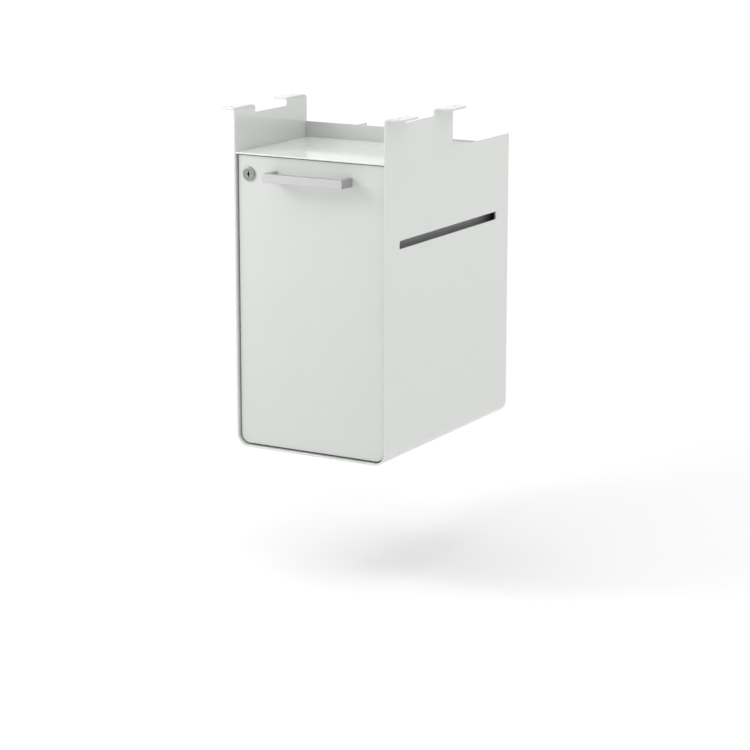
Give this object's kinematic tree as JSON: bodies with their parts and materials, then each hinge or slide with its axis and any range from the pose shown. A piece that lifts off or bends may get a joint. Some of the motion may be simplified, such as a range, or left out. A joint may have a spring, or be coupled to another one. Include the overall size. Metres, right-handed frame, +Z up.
{
  "type": "under desk drawer",
  "caption": "Narrow steel cabinet that hangs under a desk by screw tabs, with an open tray on top and one deep locking drawer on telescopic ball runners.",
  "frame": {"origin": "centre of the four screw holes, in the plane of the tabs' upper faces that lie against the desk", "axes": "+Z up out of the tabs towards the desk, +X to the right seen from the front, +Y from the drawer front to the back"},
  "size_m": [0.314, 0.4172, 0.515],
  "materials": {
    "shell_coat": "light grey fine-textured powder coat, satin",
    "tray_coat": "light grey powder coat, semi-gloss",
    "front_coat": "light grey fine-textured powder coat, satin",
    "handle_coat": "light grey satin coat",
    "box_coat": "dark grey powder coat, matte",
    "zinc_steel": "zinc-plated sheet steel",
    "runner_steel": "bright zinc-plated roll-formed steel, lightly greased",
    "cage_steel": "phosphated strip steel",
    "ball_steel": "polished bearing steel",
    "lock_plating": "satin nickel-plated zinc",
    "zinc_fastener": "bright zinc-plated",
    "buffer_rubber": "black rubber"
  },
  "bodies": {
    "cabinet": {"outer_shell": "shell_coat", "top_tray": "tray_coat", "rear_cover": "tray_coat", "back_panel": "shell_coat", "cover_screws": "zinc_fastener", "closing_buffers": "buffer_rubber", "lock_strike": "zinc_steel", "runner_bracket_front_left": "zinc_steel", "runner_bracket_front_right": "zinc_steel", "runner_bracket_rear_left": "zinc_steel", "runner_bracket_rear_right": "zinc_steel", "cabinet_runner_left": "runner_steel", "cabinet_runner_right": "runner_steel", "runner_screws_left": "zinc_fastener", "runner_screws_right": "zinc_fastener"},
    "drawer": {"drawer_front": "front_coat", "drawer_front_liner": "front_coat", "drawer_bottom": "box_coat", "drawer_back": "box_coat", "front_screws": "zinc_fastener", "handle": "handle_coat", "handle_screws": "zinc_fastener", "lock_housing": "lock_plating", "lock_nut": "zinc_fastener", "drawer_side_left": "box_coat", "drawer_side_right": "box_coat", "front_bracket_left": "box_coat", "front_bracket_right": "box_coat", "drawer_runner_left": "runner_steel", "drawer_runner_right": "runner_steel", "runner_rivets_left": "zinc_fastener", "runner_rivets_right": "zinc_fastener"},
    "lock_core": {"lock_plug": "lock_plating", "lock_cam": "zinc_steel", "lock_cam_screw": "zinc_fastener"},
    "middle_member_left": {"middle_runner_left": "runner_steel"},
    "outer_cage_left": {"outer_ball_cage_left": "cage_steel", "outer_balls_left": "ball_steel"},
    "inner_cage_left": {"inner_ball_cage_left": "cage_steel", "inner_balls_left": "ball_steel"},
    "middle_member_right": {"middle_runner_right": "runner_steel"},
    "outer_cage_right": {"outer_ball_cage_right": "cage_steel", "outer_balls_right": "ball_steel"},
    "inner_cage_right": {"inner_ball_cage_right": "cage_steel", "inner_balls_right": "ball_steel"}
  },
  "joints": [
    {"name": "drawer_slide", "type": "slide", "parent": "cabinet", "child": "drawer", "axis": [0, -1, 0], "range_m": [0, 0.32]},
    {"name": "lock_turn", "type": "hinge", "parent": "drawer", "child": "lock_core", "pos_m": [-0.1055, -0.074, -0.0965], "axis": [0, -1, 0], "range_deg": [0, 180]},
    {"name": "middle_member_slide_left", "type": "slide", "parent": "cabinet", "child": "middle_member_left", "axis": [0, -1, 0], "range_m": [0, 0.16]},
    {"name": "outer_cage_slide_left", "type": "slide", "parent": "cabinet", "child": "outer_cage_left", "axis": [0, -1, 0], "range_m": [0, 0.08]},
    {"name": "inner_cage_slide_left", "type": "slide", "parent": "cabinet", "child": "inner_cage_left", "axis": [0, -1, 0], "range_m": [0, 0.24]},
    {"name": "middle_member_slide_right", "type": "slide", "parent": "cabinet", "child": "middle_member_right", "axis": [0, -1, 0], "range_m": [0, 0.16]},
    {"name": "outer_cage_slide_right", "type": "slide", "parent": "cabinet", "child": "outer_cage_right", "axis": [0, -1, 0], "range_m": [0, 0.08]},
    {"name": "inner_cage_slide_right", "type": "slide", "parent": "cabinet", "child": "inner_cage_right", "axis": [0, -1, 0], "range_m": [0, 0.24]}
  ],
  "couplings": [
    {"joint": "middle_member_slide_left", "follows": "drawer_slide", "ratio": 0.5},
    {"joint": "outer_cage_slide_left", "follows": "drawer_slide", "ratio": 0.25},
    {"joint": "inner_cage_slide_left", "follows": "drawer_slide", "ratio": 0.75},
    {"joint": "middle_member_slide_right", "follows": "drawer_slide", "ratio": 0.5},
    {"joint": "outer_cage_slide_right", "follows": "drawer_slide", "ratio": 0.25},
    {"joint": "inner_cage_slide_right", "follows": "drawer_slide", "ratio": 0.75}
  ]
}
